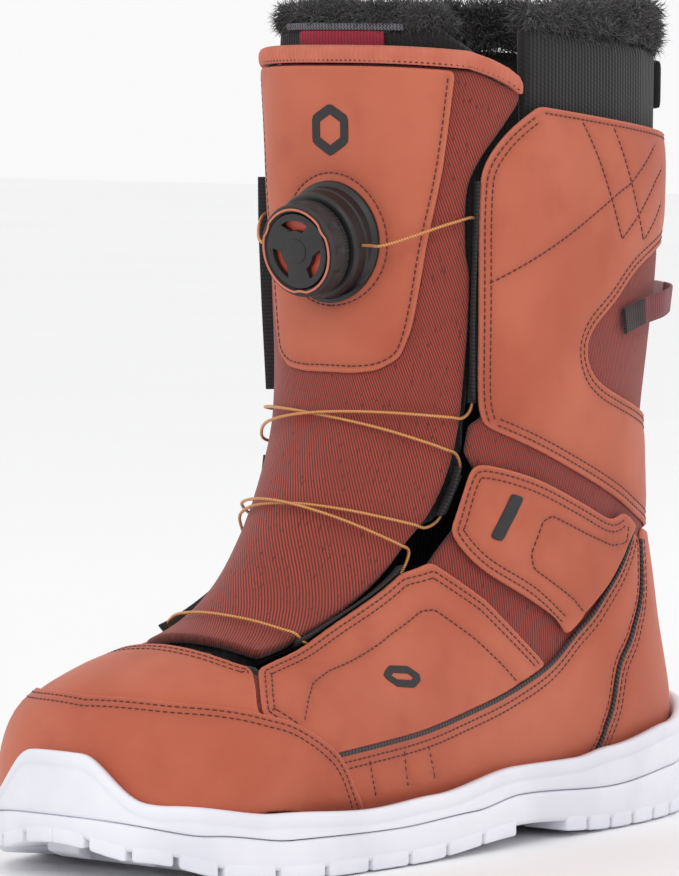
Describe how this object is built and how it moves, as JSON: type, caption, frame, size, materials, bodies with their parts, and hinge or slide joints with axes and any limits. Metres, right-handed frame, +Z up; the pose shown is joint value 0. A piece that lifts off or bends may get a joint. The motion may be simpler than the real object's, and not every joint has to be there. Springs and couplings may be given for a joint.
{
  "type": "snowboard boot",
  "caption": "Left snowboard boot with a white cup sole, leather and textile shell, tilting tongue, dial lace reel and furry liner.",
  "frame": {"origin": "on the ground, under the middle of the boot's length and width", "axes": "+Z up, -Y to the toe, +X to the outer side of the left foot"},
  "size_m": [0.1178, 0.299, 0.2803],
  "materials": {
    "outsole_rubber": "matte white moulded rubber",
    "midsole_foam": "satin white moulded foam",
    "board": "plain",
    "textile": "fine twill, red-brown",
    "leather": "smooth, lightly grained, orange-tan",
    "binding": "ribbed tape",
    "black_rubber": "matte",
    "black_plastic": "satin",
    "grey_plastic": "satin",
    "steel": "plain",
    "dial_insert": "orange-red",
    "copper_trim": "copper coloured",
    "lace": "gold-coloured coated cable",
    "webbing": "woven tape, white and maroon",
    "liner_fabric": "black ribbed textile over foam",
    "fur": "black faux fur",
    "label": "plain red",
    "footbed": "felt"
  },
  "bodies": {
    "root": {"liner_boot": "liner_fabric", "outsole": "outsole_rubber", "lace_cable": "lace", "upper_textile_medial": "textile", "upper_textile_lateral": "textile", "midsole": "midsole_foam", "toe_cap": "leather", "cuff_medial": "leather", "cuff_lateral": "leather", "vamp": "leather", "heel_counter": "leather", "foxing_medial": "leather", "foxing_lateral": "leather", "liner_fur_collar": "fur", "insole_board": "board", "quarter_lateral": "leather", "quarter_medial": "leather", "footbed": "footbed", "ankle_strap_medial": "leather", "ankle_strap_lateral": "leather", "lace_guide_upper_lateral": "black_plastic", "lace_guide_upper_medial": "black_plastic", "lace_guide_lower_lateral": "black_plastic", "lace_guide_lower_medial": "black_plastic", "liner_back_pad": "liner_fabric", "lace_guide_middle_lateral": "black_plastic", "lace_guide_middle_medial": "black_plastic", "heel_pull_loop": "webbing", "liner_pull_loop": "liner_fabric", "strap_bar_lateral": "black_rubber", "strap_bar_medial": "black_rubber"},
    "tongue_body": {"tongue": "textile", "tongue_patch": "leather", "tongue_binding": "binding", "reel_housing": "black_plastic", "dial_screw": "steel"},
    "liner_tongue_body": {"liner_tongue": "liner_fabric", "liner_label": "label", "liner_tongue_fur": "fur"},
    "spool_body": {"lace_spool": "grey_plastic"},
    "dial_core_body": {"dial_core": "grey_plastic"},
    "dial_body": {"dial_grip": "black_rubber", "dial_cap": "black_plastic", "dial_insert": "dial_insert", "dial_rim": "copper_trim"}
  },
  "joints": [
    {"name": "tongue_tilt", "type": "hinge", "parent": "root", "child": "tongue_body", "pos_m": [0.00014, -0.08946, 0.0736], "axis": [1, 0, 0], "range_deg": [0, 20], "deforming": ["lace_cable"]},
    {"name": "liner_tongue_tilt", "type": "hinge", "parent": "root", "child": "liner_tongue_body", "pos_m": [0.00014, -0.08716, 0.0685], "axis": [1, 0, 0], "range_deg": [0, 17]},
    {"name": "dial_pull", "type": "slide", "parent": "tongue_body", "child": "dial_core_body", "axis": [0, -0.9877, -0.1564], "range_m": [0, 0.004]},
    {"name": "dial_turn", "type": "hinge", "parent": "dial_core_body", "child": "dial_body", "pos_m": [-0.00016, -0.01696, 0.20021], "axis": [0, -0.9877, -0.1564], "continuous": true},
    {"name": "spool_turn", "type": "hinge", "parent": "tongue_body", "child": "spool_body", "pos_m": [-0.00016, -0.01696, 0.20021], "axis": [0, -0.9877, -0.1564], "continuous": true}
  ],
  "couplings": [
    {"joint": "liner_tongue_tilt", "follows": "tongue_tilt", "ratio": 0.85},
    {"joint": "spool_turn", "follows": "dial_turn", "ratio": 1}
  ]
}
